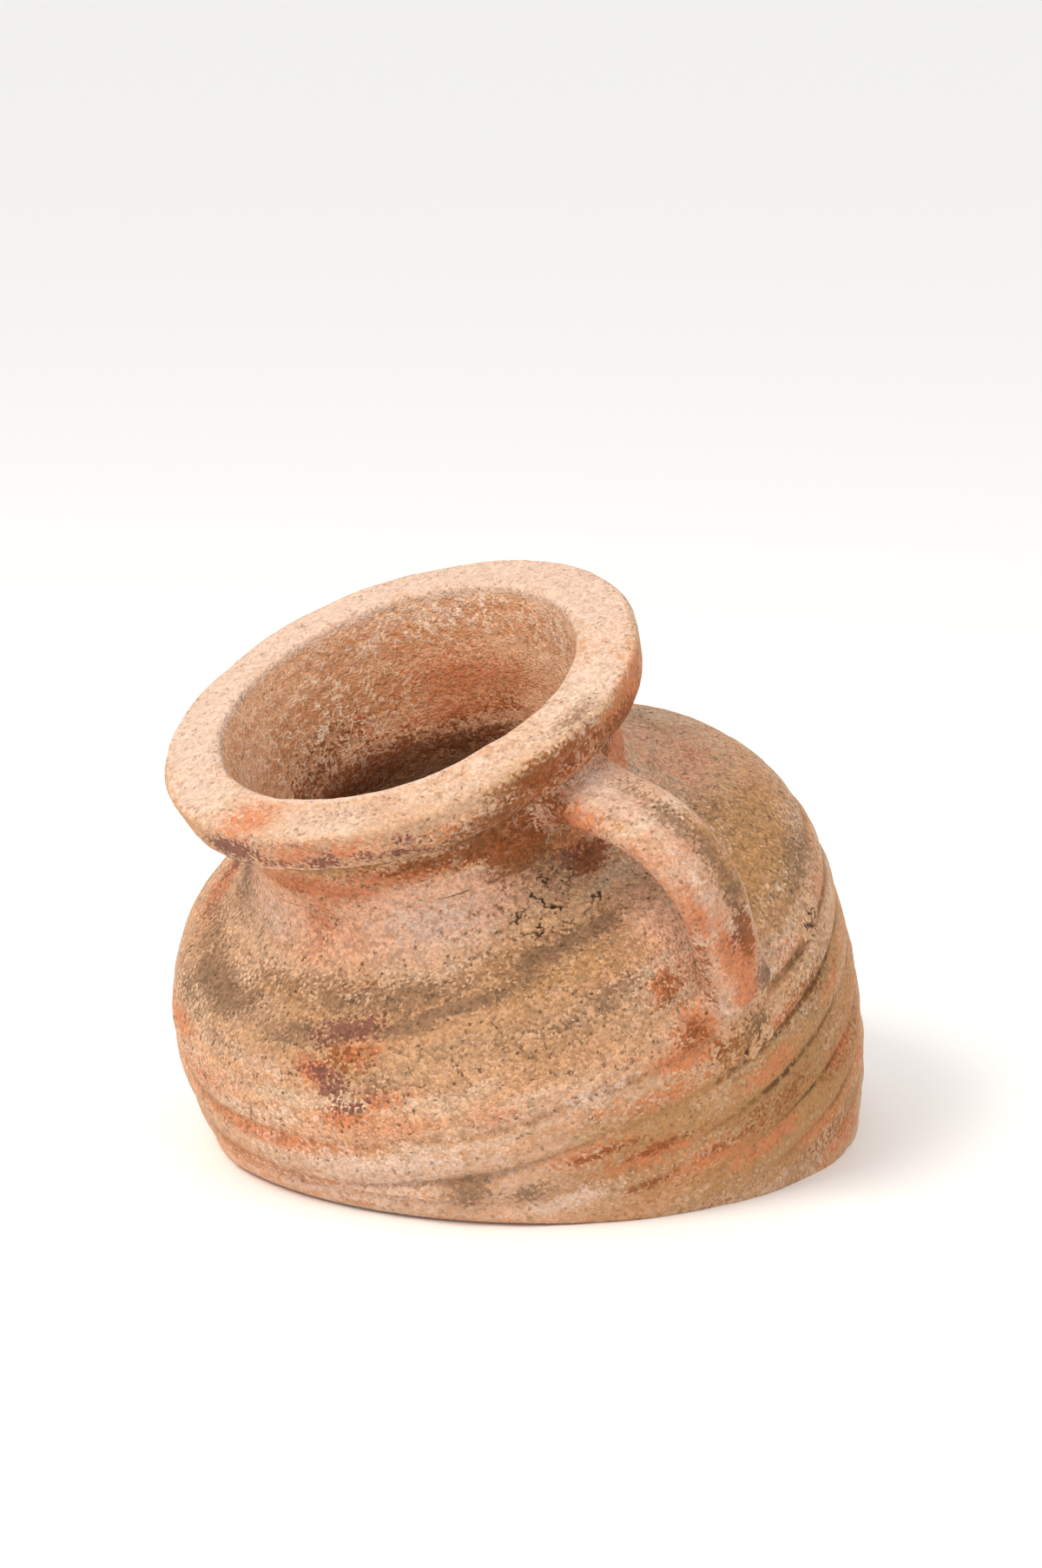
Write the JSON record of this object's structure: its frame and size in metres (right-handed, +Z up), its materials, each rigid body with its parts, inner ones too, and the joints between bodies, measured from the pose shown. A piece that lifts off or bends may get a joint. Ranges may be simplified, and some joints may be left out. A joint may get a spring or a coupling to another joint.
{
  "type": "terracotta planter",
  "caption": "Leaning wide-mouthed terracotta jar planter with a heavy turned-out lip, ridged belly, strap handle and flat base with a drain hole.",
  "frame": {"origin": "middle of the footprint on the ground, on the axis of the drain hole", "axes": "+Z up, the jar leans towards -X, the handle is on the -Y side"},
  "size_m": [0.3732, 0.3598, 0.288],
  "materials": {
    "terracotta_base": "unglazed fired clay, rough and dusty",
    "terracotta_coil": "unglazed fired clay, finger-smoothed",
    "terracotta_belly": "unglazed fired clay with finger ridges, weathered with ochre and red-brown stains",
    "terracotta_shoulder": "unglazed fired clay, sandy and bleached with a thin lime crust",
    "terracotta_neck": "unglazed fired clay, wiped smooth",
    "terracotta_lip": "unglazed fired clay, pale and worn on top",
    "terracotta_handle": "unglazed fired clay, pulled smooth"
  },
  "bodies": {
    "root": {"base_slab": "terracotta_base", "base_coil": "terracotta_coil", "belly_wall": "terracotta_belly", "shoulder_wall": "terracotta_shoulder", "neck_coil": "terracotta_neck", "neck_collar": "terracotta_neck", "lip_ring": "terracotta_lip", "handle": "terracotta_handle", "foot_wad": "terracotta_handle"}
  },
  "joints": []
}
